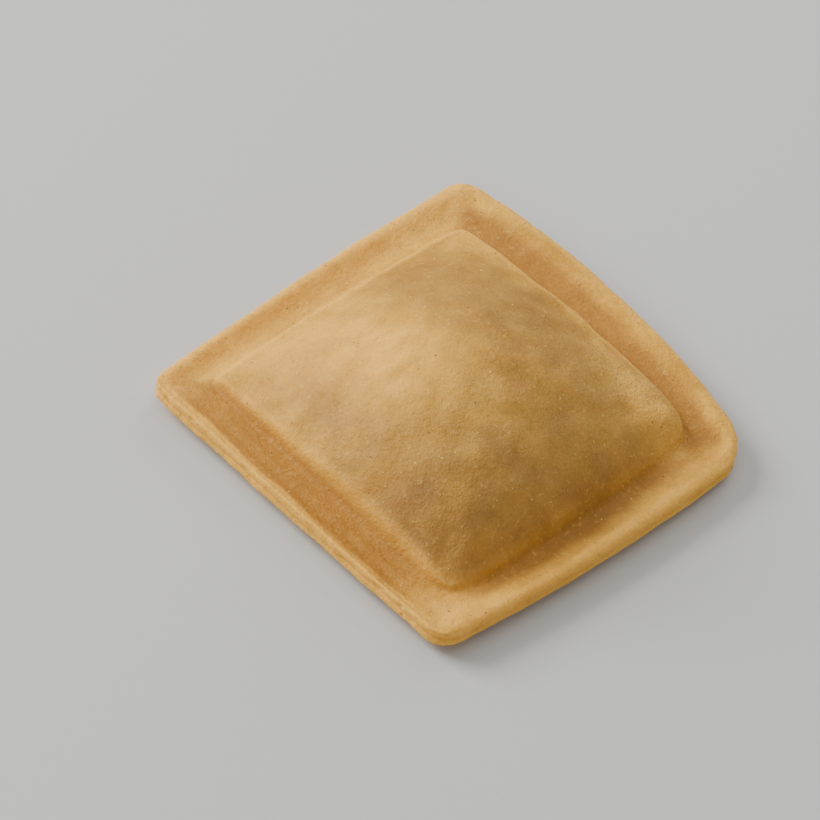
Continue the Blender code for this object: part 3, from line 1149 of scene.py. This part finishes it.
class OBJECT_OT_pasta_dough(bpy.types.Operator):
    """Makes the dough, which stands for the raviolo's solid"""

    bl_idname = "object.pasta_dough"
    bl_label = "Dough"

    def execute(self, context):
        sizes = context.scene.pasta_dough
        dough = make_dough(sizes)
        dough.data.materials.clear()
        dough.data.materials.append(dough_material(sizes))
        hand_over(dough)
        return {"FINISHED"}


class OBJECT_OT_pasta_bran(bpy.types.Operator):
    """Scatters bran flecks over the dough"""

    bl_idname = "object.pasta_bran"
    bl_label = "Bran flecks"

    def execute(self, context):
        sizes = context.scene.pasta_flecks
        finish = fleck_material("bran", sizes.bran_color, BRAN["roughness"])
        flecks = scatter_flecks(
            "bran_flecks", BRAN, sizes.bran_count, sizes.bran_length, sizes.seed, finish
        )
        hand_over(flecks)
        return {"FINISHED"}


class OBJECT_OT_pasta_grains(bpy.types.Operator):
    """Scatters pale semolina grains over the dough"""

    bl_idname = "object.pasta_grains"
    bl_label = "Semolina grains"

    def execute(self, context):
        sizes = context.scene.pasta_flecks
        finish = fleck_material("semolina", sizes.grain_color, GRAIN["roughness"])
        grains = scatter_flecks(
            "semolina_grains", GRAIN, sizes.grain_count, sizes.grain_length, sizes.seed, finish
        )
        hand_over(grains)
        return {"FINISHED"}


# The place and size of each soft light in metres, and its power in watts
LIGHTS = (
    {"name": "key", "place": (-0.62, -0.24, 0.38), "size": (0.40, 0.40), "power": 8.0},
    {"name": "top", "place": (-0.10, 0.10, 0.70), "size": (0.70, 0.70), "power": 1.3},
    {"name": "back", "place": (-0.20, 0.60, 0.35), "size": (0.50, 0.40), "power": 1.6},
    {"name": "front", "place": (0.45, -0.55, 0.30), "size": (0.60, 0.40), "power": 1.0},
)
LIGHTS_AIM = Vector((0.0, 0.0, 5.0 * MM))

# The floor lies this far under the raviolo, and its paper is clouded this much darker in patches.
FLOOR_GAP = 0.01 * MM
FLOOR_CLOUD = 0.2
FLOOR_DARKER = 0.97

# What the camera looks at, and how far that lies from the middle of the picture in pixels
CAMERA_AIM = Vector((0.27 * MM, -1.55 * MM, 1.85 * MM))
AIM_RIGHT = 38.4
AIM_UP = -7.0


def add_light(name, place, size, power):
    light = bpy.data.lights.new(name, "AREA")
    light.shape = "RECTANGLE"
    light.size, light.size_y = size
    light.energy = power
    lamp = bpy.data.objects.new(name, light)
    lamp.location = place
    lamp.rotation_euler = (LIGHTS_AIM - Vector(place)).to_track_quat("-Z", "Y").to_euler()
    bpy.context.scene.collection.objects.link(lamp)


def add_camera(stage):
    """The camera at the photograph's angle, far off with a long lens."""
    turn, rise = stage.azimuth, stage.elevation
    back = Vector((math.sin(turn) * math.cos(rise), -math.cos(turn) * math.cos(rise), math.sin(rise)))
    level = Vector((math.cos(turn), math.sin(turn), 0.0))
    upright = level.cross(-back)
    right = math.cos(stage.roll) * level + math.sin(stage.roll) * upright
    up = -math.sin(stage.roll) * level + math.cos(stage.roll) * upright
    pixel = MM / stage.scale
    distance = stage.lens / SENSOR_WIDTH * PICTURE_SIDE * pixel
    data = bpy.data.cameras.new("camera")
    data.lens = stage.lens
    data.sensor_width = SENSOR_WIDTH
    data.clip_start = 0.01
    camera = bpy.data.objects.new("camera", data)
    place = Matrix((right, up, back)).transposed().to_4x4()
    place.translation = CAMERA_AIM + back * distance - AIM_RIGHT * pixel * right - AIM_UP * pixel * up
    camera.matrix_world = place
    bpy.context.scene.collection.objects.link(camera)
    bpy.context.scene.camera = camera


def floor_material(color):
    """Matt paper, with a cloudiness too faint to see as a pattern."""
    material, tree, shader = new_material("floor")
    place = tree.add("ShaderNodeTexCoord", output="Object")
    clouds = tree.grain(place, FLOOR_CLOUD)
    darker = tuple(FLOOR_DARKER * value for value in color)
    tree.fill(shader.inputs["Base Color"], tree.paint(clouds, opaque(color), opaque(darker)))
    shader.inputs["Roughness"].default_value = 0.85
    return material


class OBJECT_OT_pasta_stage(bpy.types.Operator):
    """Adds the floor, the soft lights and the camera"""

    bl_idname = "object.pasta_stage"
    bl_label = "Stage"

    def execute(self, context):
        stage = context.scene.pasta_stage
        bpy.ops.mesh.primitive_plane_add(size=stage.floor_side)
        floor = context.object
        floor.name = "floor"
        floor.data.transform(Matrix.Translation((0.0, 0.0, CAD_BOX[0][2] - FLOOR_GAP)))
        floor.data.materials.append(floor_material(stage.floor_color))
        for light in LIGHTS:
            add_light(**light)
        world = bpy.data.worlds.new("studio")
        world.use_nodes = True
        sky = world.node_tree.nodes["Background"]
        sky.inputs["Color"].default_value = (1.0, 1.0, 1.0, 1.0)
        sky.inputs["Strength"].default_value = stage.sky
        context.scene.world = world
        add_camera(stage)
        return {"FINISHED"}


class VIEW3D_PT_pasta(bpy.types.Panel):
    """Lists the raviolo's pieces and its stage"""

    bl_label = "Pasta"
    bl_space_type = "VIEW_3D"
    bl_region_type = "UI"
    bl_category = "Pasta"

    def draw(self, context):
        for group in GROUPS:
            settings = getattr(context.scene, group)
            for name in settings.bl_rna.properties.keys():
                if name not in ("rna_type", "name"):
                    self.layout.prop(settings, name)
        for operator in OPERATORS:
            self.layout.operator(operator.bl_idname)


GROUPS = {"pasta_dough": PastaDough, "pasta_flecks": PastaFlecks, "pasta_stage": PastaStage}
OPERATORS = (
    OBJECT_OT_pasta_stage,
    OBJECT_OT_pasta_dough,
    OBJECT_OT_pasta_bran,
    OBJECT_OT_pasta_grains,
)
CLASSES = tuple(GROUPS.values()) + OPERATORS + (VIEW3D_PT_pasta,)


def register():
    for item in CLASSES:
        bpy.utils.register_class(item)
    for name, group in GROUPS.items():
        setattr(bpy.types.Scene, name, PointerProperty(type=group))


def unregister():
    for name in GROUPS:
        delattr(bpy.types.Scene, name)
    for item in reversed(CLASSES):
        bpy.utils.unregister_class(item)


def main():
    register()
    bpy.ops.object.pasta_stage()
    bpy.ops.object.pasta_dough()
    bpy.ops.object.pasta_bran()
    bpy.ops.object.pasta_grains()


if __name__ == "__main__":
    main()
